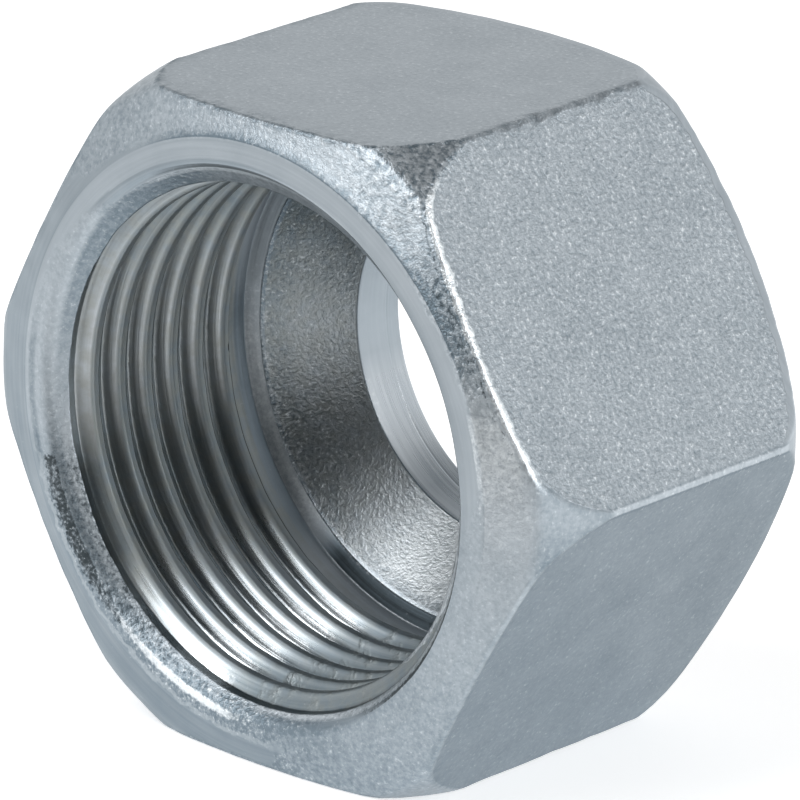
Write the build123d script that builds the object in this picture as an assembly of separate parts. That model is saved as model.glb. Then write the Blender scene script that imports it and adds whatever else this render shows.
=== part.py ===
from build123d import *

import math
import os

# Union nut for a compression tube fitting, forged from one hexagonal blank and then turned.
# The nut lies on one of its flats. Its bore runs along Y, with the threaded mouth towards -Y
# and the tube leaving towards +Y. The origin is on the floor, under the middle of the nut.
# Lengths are in millimetres. A depth is measured from the face at the mouth.

# Hexagon
ACROSS_FLATS = 27.0
LENGTH = 17.0
FLAT_COUNT = 6
EDGE_RADIUS = 0.25

# Mouth end, outside: a narrow face, a flat chamfer, then corners the die did not fill
MOUTH_FACE_INSET = 1.0
MOUTH_CHAMFER_ANGLE = 17.0
MOUTH_CORNER_INSET = 0.92
MOUTH_CORNER_REACH = 5.6

# Tube end, outside
TUBE_FACE_INSET = 0.6
TUBE_CHAMFER_ANGLE = 30.0
TUBE_CORNER_INSET = 0.68
TUBE_CORNER_REACH = 3.8

# The rounded corners end on a cylinder that clears the hexagon's own corners by this much
CORNER_CLEARANCE = 0.05

# Thread M22 x 1.5, cut from the mouth; the solid holds its minor diameter
THREAD_MAJOR_DIAMETER = 22.0
THREAD_PITCH = 1.5
THREAD_DEPTH = 9.5
MINOR_DIAMETER_DROP = 1.0825
LEAD_IN_CLEARANCE = 0.45
LEAD_IN_ANGLE = 45.0
LIP_RADIUS = 0.15

# Relief groove behind the thread
RELIEF_CLEARANCE = 0.1
RELIEF_WIDTH = 1.65
RELIEF_FRONT_ANGLE = 30.0
RELIEF_BACK_ANGLE = 60.0

# Cone that presses on the cutting ring, and the bore that the tube passes through
SEAT_DIAMETER = 20.8
SEAT_HALF_ANGLE = 45.0
TUBE_DIAMETER = 15.0
TUBE_CLEARANCE = 0.15
BORE_CHAMFER = 0.25

APOTHEM = ACROSS_FLATS / 2
CORNER_RADIUS = APOTHEM / math.cos(math.pi / FLAT_COUNT)
ENVELOPE_RADIUS = CORNER_RADIUS + CORNER_CLEARANCE
MINOR_RADIUS = (THREAD_MAJOR_DIAMETER - MINOR_DIAMETER_DROP * THREAD_PITCH) / 2
LEAD_IN_RADIUS = THREAD_MAJOR_DIAMETER / 2 + LEAD_IN_CLEARANCE
RELIEF_RADIUS = THREAD_MAJOR_DIAMETER / 2 + RELIEF_CLEARANCE
SEAT_RADIUS = SEAT_DIAMETER / 2
BORE_RADIUS = TUBE_DIAMETER / 2 + TUBE_CLEARANCE


def rise(run, degrees):
    """Height gained over a run at an angle to it."""
    return run * math.tan(math.radians(degrees))


def corner_arc(start_radius, start_depth, reach):
    """Middle and end of the arc that runs from a chamfer to the envelope, tangent to it."""
    across = ENVELOPE_RADIUS - start_radius
    along = reach - start_depth
    radius = (across**2 + along**2) / (2 * across)
    half_turn = math.asin(along / radius) / 2
    middle_radius = ENVELOPE_RADIUS - radius * (1 - math.cos(half_turn))
    middle_depth = reach - radius * math.sin(half_turn)
    return (middle_radius, middle_depth), (ENVELOPE_RADIUS, reach)


def end_outline(face_inset, chamfer_angle, corner_inset, corner_reach):
    """Outside of one end, as (radius, depth from that end's face): face edge to envelope."""
    face_radius = APOTHEM - face_inset
    chamfer_radius = CORNER_RADIUS - corner_inset
    chamfer_depth = rise(chamfer_radius - face_radius, chamfer_angle)
    middle, end = corner_arc(chamfer_radius, chamfer_depth, corner_reach)
    return (face_radius, 0), (chamfer_radius, chamfer_depth), middle, end


def from_tube_end(point):
    """The same point with its depth measured from the mouth."""
    radius, depth = point
    return radius, LENGTH - depth


def envelope():
    """Turned and forged outside that trims both ends of the hexagon."""
    mouth = end_outline(
        MOUTH_FACE_INSET, MOUTH_CHAMFER_ANGLE, MOUTH_CORNER_INSET, MOUTH_CORNER_REACH
    )
    tube_end = end_outline(
        TUBE_FACE_INSET, TUBE_CHAMFER_ANGLE, TUBE_CORNER_INSET, TUBE_CORNER_REACH
    )
    tube_end = [from_tube_end(point) for point in tube_end]
    with BuildSketch(Plane.XZ) as section:
        with BuildLine():
            Polyline((0, 0), mouth[0], mouth[1])
            ThreePointArc(*mouth[1:])
            Line(mouth[3], tube_end[3])
            ThreePointArc(*reversed(tube_end[1:]))
            Polyline(tube_end[1], tube_end[0], (0, LENGTH), (0, 0))
        make_face()
    return revolve(section.sketch, Axis.Z)


def hexagon():
    """Plain hexagonal bar with slightly rounded long edges."""
    outline = RegularPolygon(APOTHEM, FLAT_COUNT, major_radius=False)
    return extrude(fillet(outline.vertices(), EDGE_RADIUS), LENGTH)


def bore():
    """Everything turned out of the inside, from the mouth to the tube end."""
    lead_in_depth = rise(LEAD_IN_RADIUS - MINOR_RADIUS, 90 - LEAD_IN_ANGLE)
    relief_front = THREAD_DEPTH + rise(RELIEF_RADIUS - MINOR_RADIUS, RELIEF_FRONT_ANGLE)
    relief_back = THREAD_DEPTH + RELIEF_WIDTH
    seat_start = relief_back + rise(RELIEF_RADIUS - SEAT_RADIUS, 90 - RELIEF_BACK_ANGLE)
    seat_end = seat_start + rise(SEAT_RADIUS - BORE_RADIUS, 90 - SEAT_HALF_ANGLE)
    outline = [
        (0, 0),
        (LEAD_IN_RADIUS, 0),
        (MINOR_RADIUS, lead_in_depth),
        (MINOR_RADIUS, THREAD_DEPTH),
        (RELIEF_RADIUS, relief_front),
        (RELIEF_RADIUS, relief_back),
        (SEAT_RADIUS, seat_start),
        (BORE_RADIUS, seat_end),
        (BORE_RADIUS, LENGTH - BORE_CHAMFER),
        (BORE_RADIUS + BORE_CHAMFER, LENGTH),
        (0, LENGTH),
    ]
    with BuildSketch(Plane.XZ) as section:
        with BuildLine():
            Polyline(*outline, close=True)
        make_face()
    return revolve(section.sketch, Axis.Z)


def mouth_lip(nut):
    """Small rounding where the lead-in cone meets the face at the mouth."""
    face_edges = nut.edges().filter_by(GeomType.CIRCLE).group_by(Axis.Z)[0]
    inner_edge = face_edges.sort_by(SortBy.RADIUS)[0]
    return fillet(inner_edge, LIP_RADIUS)


def union_nut():
    """The whole nut, first upright on its mouth and then laid on a flat."""
    nut = mouth_lip((hexagon() & envelope()) - bore())
    return Pos(0, -LENGTH / 2, APOTHEM) * Rot(-90, 0, 0) * nut


os.makedirs("parts", exist_ok=True)
export_step(union_nut(), "parts/union_nut.step")
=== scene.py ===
import math

import bpy
import numpy as np
from bpy.props import FloatProperty, FloatVectorProperty, PointerProperty
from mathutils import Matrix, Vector, noise


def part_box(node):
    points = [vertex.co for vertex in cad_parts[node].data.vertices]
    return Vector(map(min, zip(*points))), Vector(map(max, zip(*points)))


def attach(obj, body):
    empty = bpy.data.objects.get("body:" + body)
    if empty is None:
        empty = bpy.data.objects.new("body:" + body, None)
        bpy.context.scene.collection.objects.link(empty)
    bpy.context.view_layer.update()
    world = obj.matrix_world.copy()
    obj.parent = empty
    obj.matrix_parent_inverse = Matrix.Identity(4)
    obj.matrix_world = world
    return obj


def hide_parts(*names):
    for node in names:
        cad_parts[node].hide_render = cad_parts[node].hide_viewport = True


bl_info = {
    "name": "Union nut",
    "version": (1, 0, 0),
    "blender": (4, 5, 0),
    "location": "View3D > Sidebar > Union nut",
    "description": "Makes a zinc-plated union nut with its cut thread, and a studio to see it in",
    "category": "Object",
}

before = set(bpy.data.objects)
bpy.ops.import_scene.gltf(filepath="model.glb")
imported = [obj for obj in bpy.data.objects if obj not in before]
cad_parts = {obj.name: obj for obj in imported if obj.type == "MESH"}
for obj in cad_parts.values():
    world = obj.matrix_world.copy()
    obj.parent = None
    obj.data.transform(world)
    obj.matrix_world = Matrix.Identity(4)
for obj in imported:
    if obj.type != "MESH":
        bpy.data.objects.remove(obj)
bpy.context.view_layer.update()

# The nut's place
MM = 0.001
NODE = "union_nut"
BODY = "root"
NODE_LOW, NODE_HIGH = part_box(NODE)
NUT_LENGTH = NODE_HIGH.y - NODE_LOW.y
ACROSS_FLATS = NODE_HIGH.z - NODE_LOW.z
AXIS_HEIGHT = (NODE_HIGH.z + NODE_LOW.z) / 2

# Outside of the nut. Lengths are in millimetres and angles in degrees. A depth is measured from
# the face at the mouth. An angle turns from the top flat to the right, seen from the mouth.
FLAT_ANGLE = 60.0
MOUTH_FACE_INSET = 1.0
MOUTH_CHAMFER_ANGLE = 17.0
MOUTH_CORNER_INSET = 0.92
MOUTH_CORNER_REACH = 5.6
TUBE_FACE_INSET = 0.6
TUBE_CHAMFER_ANGLE = 30.0
TUBE_CORNER_INSET = 0.68
TUBE_CORNER_REACH = 3.8
CORNER_CLEARANCE = 0.05

# How deep the chips along the long edges are, at most
CHIP_DEPTH = 0.11

# Thread, relief groove, cone and tube bore
LEAD_IN_CLEARANCE = 0.45
THREAD_PITCH = 1.5
THREAD_END = 9.5
THREAD_START = 0.74
RELIEF_CLEARANCE = 0.1
RELIEF_WIDTH = 1.65
SEAT_RADIUS = 10.4
BORE_RADIUS = 7.65
BORE_CHAMFER = 0.25
BORE_LINE = 16.03
FLANK_RISE = math.tan(math.radians(60))

# How soft the cut corners inside are. A crest is rounder on the side that the tool entered from.
CUT_SOFTNESS = 0.05
CREST_SOFTNESS = 0.02
CREST_ENTRY_SOFTNESS = (0, 0.09), (180, 0.11), (225, 0.11), (245, 0.08), (340, 0.09)
# How far a crest's deep edge is torn back, at most
CREST_TEAR = 0.035
# The real crests are cut back from the basic minor radius, within the thread's tolerance
CREST_CUT_BACK = 0.11
ROOT_SOFTNESS = 0.05

# How far the lip at the mouth lies inside a round one, from (angle, length) pairs
LIP_INSET = (
    (28, 0), (43, 0.06), (50, 0.10), (64, 0.12), (78, 0.17), (92, 0.16), (106, 0.13), (120, 0.09),
    (134, 0.06), (150, 0),
)

# Depths where one finish gives way to the next
RELIEF_START = 9.7
RUN_OUT_END = 9.8
RELIEF_CORNER = 11.14
WALL_FOOT = 11.16
WALL_START = 11.17
WALL_END = 11.45
SEAT_START = 11.5
SEAT_LEVEL = 11.6
SEAT_CORNER_END = 11.64
SEAT_END = 14.25
BORE_START = 14.3
BORE_EDGE_END = 14.4
TUBE_FACE_START = 16.5

# Radii where it does, and how far a crest's finish reaches from the crest's middle
TUBE_FACE_EDGE = 7.8
TUBE_BORE_EDGE = 8.2
CREST_TOP = 10.4
CREST_SIDE = 10.75
LEAD_IN_RADIUS = 11.45
CREST_BACK = 0.34

FLAT_LENGTH = 11.0
TUBE_END_STAIN = 0.58

# Grain of the finish, in metres, and how closely the turned rings lie
FINE_GRAIN = 0.00017
COARSE_GRAIN = 0.00026
CRINKLE = 0.0006
CLOUD = 0.0022
RINGS_PER_METRE = 9000.0
RING_SPREAD = 2.2

# Studio, in metres and degrees. A light is (azimuth, elevation, width, height).
TABLE_REACH = 3.0
GLOW_FAR, GLOW_NEAR = -0.060, -0.012
KEY_LIGHT = (-21, 41, 0.50, 1.20)
SIDE_LIGHT = (80, 28, 0.75, 0.35)
LIGHT_DISTANCE = 1.0
DARK_CORNER = (28, 17)
CARD_LEFT, CARD_RIGHT = -0.010, 0.020
CARD_BOTTOM, CARD_TOP = 0.004, 0.020
CARD_PLACE = -0.045
CAMERA_AZIMUTH, CAMERA_ELEVATION = 43.069, 19.455
CAMERA_DISTANCE = 0.35706
CAMERA_LENS = 402.57
CAMERA_SENSOR = 36.0
CAMERA_AIM = (0.00012, -0.00019, 0)


def size_property(name, description, default, least=0.0):
    """A length in metres that the user may change."""
    return FloatProperty(
        name=name,
        description=description,
        default=default,
        min=least,
        subtype="DISTANCE",
        unit="LENGTH",
    )


def colour_property(name, description, default):
    """A colour that the user may change."""
    return FloatVectorProperty(
        name=name,
        description=description,
        default=default,
        min=0.0,
        max=1.0,
        size=3,
        subtype="COLOR",
    )


def strength_property(name, description, default):
    """A brightness that the user may change."""
    return FloatProperty(name=name, description=description, default=default, min=0.0)


class NutShape(bpy.types.PropertyGroup):
    """Sizes of the nut."""

    across_flats: size_property(
        "Across flats", "Distance between two opposite flats", ACROSS_FLATS, 0.02
    )
    length: size_property("Length", "Length along the bore", NUT_LENGTH, 0.01)
    thread_diameter: size_property("Thread diameter", "Major diameter of the thread", 0.022, 0.01)
    thread_pitch: size_property(
        "Thread pitch", "Distance from one thread crest to the next", 0.0015, 0.0005
    )
    edge_rounding: size_property("Edge rounding", "Radius of the six long edges", 0.00025, 0.00005)
    unevenness: size_property(
        "Unevenness", "How far the forged skin wanders below its ideal shape", 0.00003
    )


class NutFinish(bpy.types.PropertyGroup):
    """Colours and textures of the plated steel, with the colours of its painted shade and
    highlights.
    """

    zinc: colour_property("Zinc", "Colour of the plating where it is bright", (0.645, 0.70, 0.745))
    # Also the colour of the shade painted on by angle
    dull_and_painted_light: colour_property("Stain", "Colour of the plating where it is dull", (0.185, 0.235, 0.275))
    # Also the colour of the shade painted in the thread roots, behind the crests and over the
    # relief groove
    pit_and_shade: colour_property("Pit", "Colour of the residue in pits and corners", (0.047, 0.057, 0.061))
    olive: colour_property("Olive", "Tint of the plating inside", (0.36, 0.36, 0.31))
    # Also the colour of the painted highlights and of the highlight painted along the torn line
    spark_and_highlight: colour_property(
        "Spark", "Colour of the bright grains of the skin", (0.885, 0.935, 0.965)
    )
    grit_depth: size_property(
        "Grit depth", "Height of the grains on the blasted and forged skin", 0.00011
    )
    groove_depth: size_property(
        "Groove depth", "Depth of the fine rings that turning leaves", 0.00001
    )


class StudioLook(bpy.types.PropertyGroup):
    """Floor and light round the nut."""

    floor: colour_property("Floor", "Colour of the floor", (0.86, 0.86, 0.86))
    floor_glow: strength_property("Floor glow", "Light that the table itself gives", 0.62)
    horizon: strength_property("Horizon", "Brightness of the room at the level of the table", 0.85)
    ceiling: strength_property("Ceiling", "Brightness of the room overhead", 0.30)
    key_light: strength_property("Key light", "Brightness of the soft light before the mouth", 2.45)
    side_light: strength_property("Side light", "Brightness of the soft light on the right", 3.6)


class Value:
    """A number, colour or vector in a finish, so that maths on it reads as maths."""

    def __init__(self, finish, socket):
        self.finish = finish
        self.socket = socket

    def math(self, operation, left, right):
        return self.finish.node("ShaderNodeMath", {"operation": operation}, {0: left, 1: right})

    def __add__(self, other):
        return self.math("ADD", self, other)

    def __radd__(self, other):
        return self.math("ADD", other, self)

    def __sub__(self, other):
        return self.math("SUBTRACT", self, other)

    def __rsub__(self, other):
        return self.math("SUBTRACT", other, self)

    def __mul__(self, other):
        return self.math("MULTIPLY", self, other)

    def __rmul__(self, other):
        return self.math("MULTIPLY", other, self)

    def __truediv__(self, other):
        return self.math("DIVIDE", self, other)

    def __rtruediv__(self, other):
        return self.math("DIVIDE", other, self)

    def __pow__(self, other):
        return self.math("POWER", self, other)


class Finish:
    """The nodes of a material, or of the room's light, written as expressions."""

    def __init__(self, owner):
        self.owner = owner
        self.owner.use_nodes = True
        self.tree = self.owner.node_tree
        self.tree.nodes.clear()

    def node(self, kind, settings=None, inputs=None, output=0):
        """Adds one node: its settings first, then the values or links of its sockets."""
        made = self.tree.nodes.new(kind)
        for name, setting in (settings or {}).items():
            setattr(made, name, setting)
        for name, value in (inputs or {}).items():
            if isinstance(value, Value):
                self.tree.links.new(value.socket, made.inputs[name])
            else:
                made.inputs[name].default_value = value
        return Value(self, made.outputs[output]) if made.outputs else made

    def measured(self, name):
        """A number that the mesh carries at each point."""
        return self.node(
            "ShaderNodeAttribute",
            {"attribute_type": "GEOMETRY", "attribute_name": name},
            output="Fac",
        )

    def grain(self, place, size, detail=2.0, roughness=0.5):
        """Cloudy noise from 0 to 1 whose blobs are about as wide as size, in metres."""
        return self.node(
            "ShaderNodeTexNoise",
            {"noise_dimensions": "3D"},
            {"Vector": place, "Scale": 1.0 / size, "Detail": detail, "Roughness": roughness},
            output="Fac",
        )

    def step(self, value, low, high, start=0.0, end=1.0):
        """A smooth change from start to end as a value goes from low to high."""
        return self.node(
            "ShaderNodeMapRange",
            {"interpolation_type": "SMOOTHSTEP", "clamp": True},
            {"Value": value, "From Min": low, "From Max": high, "To Min": start, "To Max": end},
        )

    def alike(self, first, second):
        """How nearly two directions agree: 1 when they are the same."""
        return self.node(
            "ShaderNodeVectorMath",
            {"operation": "DOT_PRODUCT"},
            {0: first, 1: second},
            output="Value",
        )

    def blend_colour(self, factor, first, second):
        """A mix of two colours."""
        return self.node(
            "ShaderNodeMix",
            {"data_type": "RGBA", "blend_type": "MIX", "clamp_factor": True},
            {0: factor, 6: first, 7: second},
            output=2,
        )

    def surface(self, fixed, varying):
        """The shader itself and the material's output."""
        shader = self.node("ShaderNodeBsdfPrincipled", None, {**fixed, **varying})
        self.node("ShaderNodeOutputMaterial", {"target": "ALL"}, {"Surface": shader})
        return self.owner

    def glow(self, brightness):
        """Light that comes from all round, and the output of the room."""
        sky = self.node("ShaderNodeBackground", None, {"Color": brightness})
        self.node("ShaderNodeOutputWorld", None, {"Surface": sky})
        return self.owner


def opaque(colour):
    """A colour with full alpha, as sockets take it."""
    return (*colour, 1.0)


def smooth_max(first, second, softness):
    """The greater of two numbers, rounded where they meet."""
    return (first + second + math.hypot(first - second, softness)) / 2


def smooth_min(first, second, softness):
    """The lesser of two numbers, rounded where they meet."""
    return (first + second - math.hypot(first - second, softness)) / 2


def curve(path, setbacks, steps=4):
    """Points along a path of (radius, depth), its corners rounded off."""
    points = [path[0]]
    for before, corner, after, setback in zip(path, path[1:], path[2:], setbacks):
        ends = []
        for other in (before, after):
            run = math.dist(corner, other)
            share = min(setback / run, 0.48)
            ends.append([c + (o - c) * share for c, o in zip(corner, other)])
        for i in range(steps + 1):
            t = i / steps
            points.append(
                tuple(
                    (1 - t) ** 2 * a + 2 * t * (1 - t) * c + t**2 * b
                    for a, c, b in zip(ends[0], corner, ends[1])
                )
            )
    points.append(path[-1])
    return points


def around(angle, *pairs):
    """A number that changes with the angle and closes on itself, from (angle, number) pairs."""
    angles, numbers = zip(*sorted(pairs))
    return np.interp(angle, angles, numbers, period=360.0)


class Profile:
    """The nut's section at any angle, in millimetres."""

    def __init__(self, shape):
        self.apothem = shape.across_flats / MM / 2
        self.length = shape.length / MM
        self.pitch = shape.thread_pitch / MM
        self.rounding = shape.edge_rounding / MM
        self.uneven = shape.unevenness / MM
        self.major = shape.thread_diameter / MM / 2
        self.minor = self.major - 1.0825 * self.pitch / 2 + CREST_CUT_BACK
        self.crest_half = self.pitch * 0.108
        self.flank = (self.major - self.minor) / FLANK_RISE
        self.lead_in = self.major + LEAD_IN_CLEARANCE
        self.relief = self.major + RELIEF_CLEARANCE
        self.relief_end = THREAD_END + RELIEF_WIDTH
        self.seat_start = self.relief_end + (self.relief - SEAT_RADIUS) / FLANK_RISE
        self.seat_end = self.seat_start + SEAT_RADIUS - BORE_RADIUS
        self.corner = self.apothem / math.cos(math.radians(FLAT_ANGLE / 2))
        self.mouth = self.end(
            MOUTH_FACE_INSET, MOUTH_CHAMFER_ANGLE, MOUTH_CORNER_INSET, MOUTH_CORNER_REACH
        )
        self.tube = self.end(
            TUBE_FACE_INSET, TUBE_CHAMFER_ANGLE, TUBE_CORNER_INSET, TUBE_CORNER_REACH
        )

    def end(self, face_inset, chamfer_angle, corner_inset, reach):
        """Face radius, chamfer slope, and the arc that the unfilled corners follow."""
        face = self.apothem - face_inset
        slope = math.tan(math.radians(chamfer_angle))
        start = self.corner - corner_inset
        across = self.corner + CORNER_CLEARANCE - start
        along = reach - (start - face) * slope
        radius = (across**2 + along**2) / (2 * across)
        return face, slope, self.corner + CORNER_CLEARANCE - radius, reach, radius

    def end_depth(self, end, radius, angle):
        """How far the end's outside lies below its face."""
        face, slope, arc_centre, arc_depth, arc_radius = end
        chamfer = smooth_max(0.0, (radius - face) * slope, 0.02)
        arc = arc_depth - math.sqrt(max(arc_radius**2 - (radius - arc_centre) ** 2, 0.0))
        softness = around(
            angle, (30, 0.14), (80, 0.5), (100, 0.5), (150, 0.45), (210, 0.5), (270, 0.45),
            (330, 0.6),
        )
        return smooth_max(chamfer, arc, softness)

    def outer_radius(self, angle, depth):
        """Distance from the axis to the hexagon, its long edges rounded and a little chipped."""
        half = math.radians(FLAT_ANGLE / 2)
        off = abs((angle + FLAT_ANGLE / 2) % FLAT_ANGLE - FLAT_ANGLE / 2)
        from_edge = half - math.radians(off)
        centre = (self.apothem - self.rounding) / math.cos(half)
        tangent = math.atan2(
            self.rounding * math.sin(half), centre + self.rounding * math.cos(half)
        )
        if from_edge >= 2 * tangent:
            return self.apothem / math.cos(math.radians(off))
        if from_edge >= tangent:
            radius = self.apothem / math.cos(math.radians(off))
        else:
            radius = centre * math.cos(from_edge) + math.sqrt(
                self.rounding**2 - (centre * math.sin(from_edge)) ** 2
            )
        edge = angle // FLAT_ANGLE
        chip = noise.noise(Vector((depth / 0.7, edge * 5.3, 0.5))) + 0.3
        wear = CHIP_DEPTH if edge == 0 else CHIP_DEPTH / 3
        crown = centre + self.rounding - 0.015 - wear * max(0.0, chip)
        return smooth_min(radius, crown, 0.02)

    def sway(self, angle, depth, size, seed):
        """Slow noise from -1 to 1 over the outside, in blobs of a size in millimetres."""
        turn = math.radians(angle)
        place = Vector(
            (
                self.apothem * math.sin(turn) / size,
                self.apothem * math.cos(turn) / size,
                depth / size + seed,
            )
        )
        return noise.noise(place)

    def crest(self, number, angle):
        """Depth of the middle of a thread crest, with the small wander of a real cut."""
        turned = angle + 360.0 * number
        wander = 0.012 * noise.noise(Vector((turned / 9.0, 3.7, 0.0)))
        return THREAD_START + self.pitch * turned / 360.0 + wander

    def torn(self, number, angle):
        """How far a crest's deep edge is torn back, in jogs of uneven length."""
        turned = angle + 360.0 * number
        jog = noise.noise(Vector((turned / 7.0, 1.3, 4.1)))
        return CREST_TEAR * (0.5 + 0.5 * math.tanh(6 * (jog - 0.12)))

    def thread(self, depth, angle):
        """Radius that the thread alone cuts."""
        lead = self.pitch * angle / 360.0
        number = round((depth - THREAD_START - lead) / self.pitch)
        past = depth - self.crest(number, angle)
        half = self.crest_half - (self.torn(number, angle) if past > 0 else 0.0)
        flank = self.minor + (abs(past) - half) * FLANK_RISE
        softness = CREST_SOFTNESS if past > 0 else around(angle, *CREST_ENTRY_SOFTNESS)
        return smooth_min(smooth_max(flank, self.minor, softness), self.major, ROOT_SOFTNESS)

    def lead_in_cone(self, depth, angle):
        """Radius of the cone that opens the mouth."""
        return self.lead_in - around(angle, *LIP_INSET) - depth

    def deep_bore(self, depth):
        """Radius of the relief groove and what lies behind it."""
        front = self.minor + (depth - THREAD_END) * FLANK_RISE
        return smooth_min(front, self.relief, CUT_SOFTNESS)

    def bore_radius(self, depth, angle):
        """Radius of the threaded end of the bore: the widest of its cuts."""
        cut = smooth_max(self.thread(depth, angle), self.lead_in_cone(depth, angle), CUT_SOFTNESS)
        return smooth_max(cut, self.deep_bore(depth), CUT_SOFTNESS)

    def cutter(self, depth, angle):
        """Which cut is the widest: 0 for the cone, 1 for the thread, 2 for the relief groove."""
        cuts = (self.lead_in_cone(depth, angle), self.thread(depth, angle), self.deep_bore(depth))
        return max(range(3), key=cuts.__getitem__)


# Which part of the section a row belongs to
ZONE_LIP, ZONE_FRONT, ZONE_EDGE, ZONE_FLAT, ZONE_BACK, ZONE_DEEP, ZONE_THREAD = range(7)

# Radii of the rows on the two ends, and shares of the length for the rows along a flat
FRONT_RADII = (
    11.7, 11.79, 11.86, 11.92,
    *np.arange(12.0, 12.35, 0.09),
    12.4, 12.46, 12.5, 12.54, 12.6,
    *np.arange(12.7, 14.4, 0.15),
    14.5, 14.58, 14.64, 14.69, 14.75,
    *np.arange(14.83, 15.5, 0.1),
)
BACK_RADII = (
    12.82, 12.88, 12.92, 13.0,
    *np.arange(13.2, 14.7, 0.25),
    14.8, 14.86, 14.91, 14.96,
    *np.arange(15.05, 15.5, 0.12),
)
FLAT_SHARES = (0.008, 0.02, 0.035, 0.1, 0.22, 0.36, 0.5, 0.64, 0.78, 0.9, 0.97)
EDGE_SHARES = tuple(np.linspace(0.012, 0.988, 56))
EDGE_SETBACK = 0.13
# Degrees round a long edge that have the fine rows, and where the columns lie wider apart
EDGE_REACH = 1.4
WIDE_FROM, WIDE_TO = 92, 178

# A thread row's place in its column follows the helix, so that like rows meet
KEY_START = 20.0
KEY_SPAN = 30.0


def lip_rows(profile, angle):
    """The rounded edge from the lead-in cone to the face at the mouth."""
    soft = around(
        angle, (0, 0.16), (20, 0.1), (30, 0.05), (115, 0.05), (150, 0.2), (190, 0.42), (280, 0.42),
        (320, 0.22),
    )
    mouth = profile.lead_in_cone(0.0, angle)
    low = (mouth - 0.6, 0.6)
    top = (mouth, 0.0)
    face = (mouth + 0.6, 0.0)
    return [
        (ZONE_LIP, i / 10, radius, depth)
        for i, (radius, depth) in enumerate(curve([low, top, face], [soft], 9)[1:-1])
    ]


def outer_rows(profile, angle, lip_end):
    """The face beyond the lip, the flat and the tube end's face, with the edges between them."""
    setback = around(
        angle, (25, EDGE_SETBACK), (33, 0.29), (50, 0.24), (87, 0.23), (93, EDGE_SETBACK)
    )
    if 30 < angle < 90:
        setback *= 1 + 0.7 * noise.noise(Vector((angle / 1.9, 2.2, 7.1)))
    near_edge = abs(angle % FLAT_ANGLE - FLAT_ANGLE / 2) < EDGE_REACH
    spans = []
    for end, radii, seed in ((profile.mouth, FRONT_RADII, 11.0), (profile.tube, BACK_RADII, 47.0)):

        def below(radius, end=end, seed=seed):
            rough = profile.uneven * (1 + profile.sway(angle, radius, 1.1, seed))
            worn = max(0.0, min(1.0, (radius - end[0] - 0.1) / 0.4))
            return profile.end_depth(end, radius, angle) + rough * worn

        edge = profile.outer_radius(angle, 2.0 if end is profile.mouth else 15.0)
        slope = (below(edge) - below(edge - 0.02)) / 0.02
        inner = edge - setback / math.hypot(1.0, slope)
        fillet = [
            ((1 - t) ** 2 * inner + (1 - (1 - t) ** 2) * edge,
             (1 - t) ** 2 * below(inner)
             + 2 * t * (1 - t) * below(edge)
             + t**2 * (below(edge) + setback))
            for t in (0.0, 0.25, 0.5, 0.75, 1.0)
        ]
        kept = [(r, below(r)) for r in radii if lip_end + 0.03 < r < inner - 0.025]
        spans.append((kept, fillet))
    (front, front_fillet), (back, back_fillet) = spans
    rows = [(ZONE_FRONT, (r - 10) / 10, r, d) for r, d in front]
    rows += [(ZONE_EDGE, i / 10, r, d) for i, (r, d) in enumerate(front_fillet)]
    first = front_fillet[-1][1]
    last = profile.length - back_fillet[-1][1]
    for share in EDGE_SHARES if near_edge else FLAT_SHARES:
        depth = first + (last - first) * share
        hollow = profile.uneven * 0.3 * (1 + profile.sway(angle, depth, 6.0, 5.0))
        edge = profile.outer_radius(angle, depth)
        rows.append((ZONE_FLAT, share, edge - hollow, depth))
    rows += [
        (ZONE_BACK, i / 10, r, profile.length - d)
        for i, (r, d) in enumerate(reversed(back_fillet))
    ]
    rows += [(ZONE_BACK, 0.5 + (16 - r) / 10, r, profile.length - d) for r, d in reversed(back)]
    return rows


def deep_rows(profile):
    """The tube end's face, the tube bore, the cone and the relief groove, alike all round."""
    path = [
        (12.6, profile.length),
        (BORE_RADIUS + BORE_CHAMFER, profile.length),
        (BORE_RADIUS, profile.length - BORE_CHAMFER),
        (BORE_RADIUS, BORE_LINE + 0.07),
        (BORE_RADIUS + 0.015, BORE_LINE),
        (BORE_RADIUS, BORE_LINE - 0.07),
        (BORE_RADIUS, profile.seat_end),
        (SEAT_RADIUS, profile.seat_start),
        (profile.relief, profile.relief_end),
        (profile.relief, profile.relief_end - 0.5),
    ]
    points = curve(path, [0.06, 0.06, 0.03, 0.03, 0.03, 0.08, 0.12, 0.06], 4)
    rows = []
    for (r0, d0), (r1, d1) in zip(points, points[1:]):
        longest = 0.12 if r0 > SEAT_RADIUS - 0.2 and d0 < 12.0 else 0.6
        cuts = max(1, round(math.dist((r0, d0), (r1, d1)) / longest))
        for i in range(cuts):
            rows.append((r0 + (r1 - r0) * i / cuts, d0 + (d1 - d0) * i / cuts))
    rows.append(points[-1])
    return [(ZONE_DEEP, i / 100, r, d) for i, (r, d) in enumerate(rows)]


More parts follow.
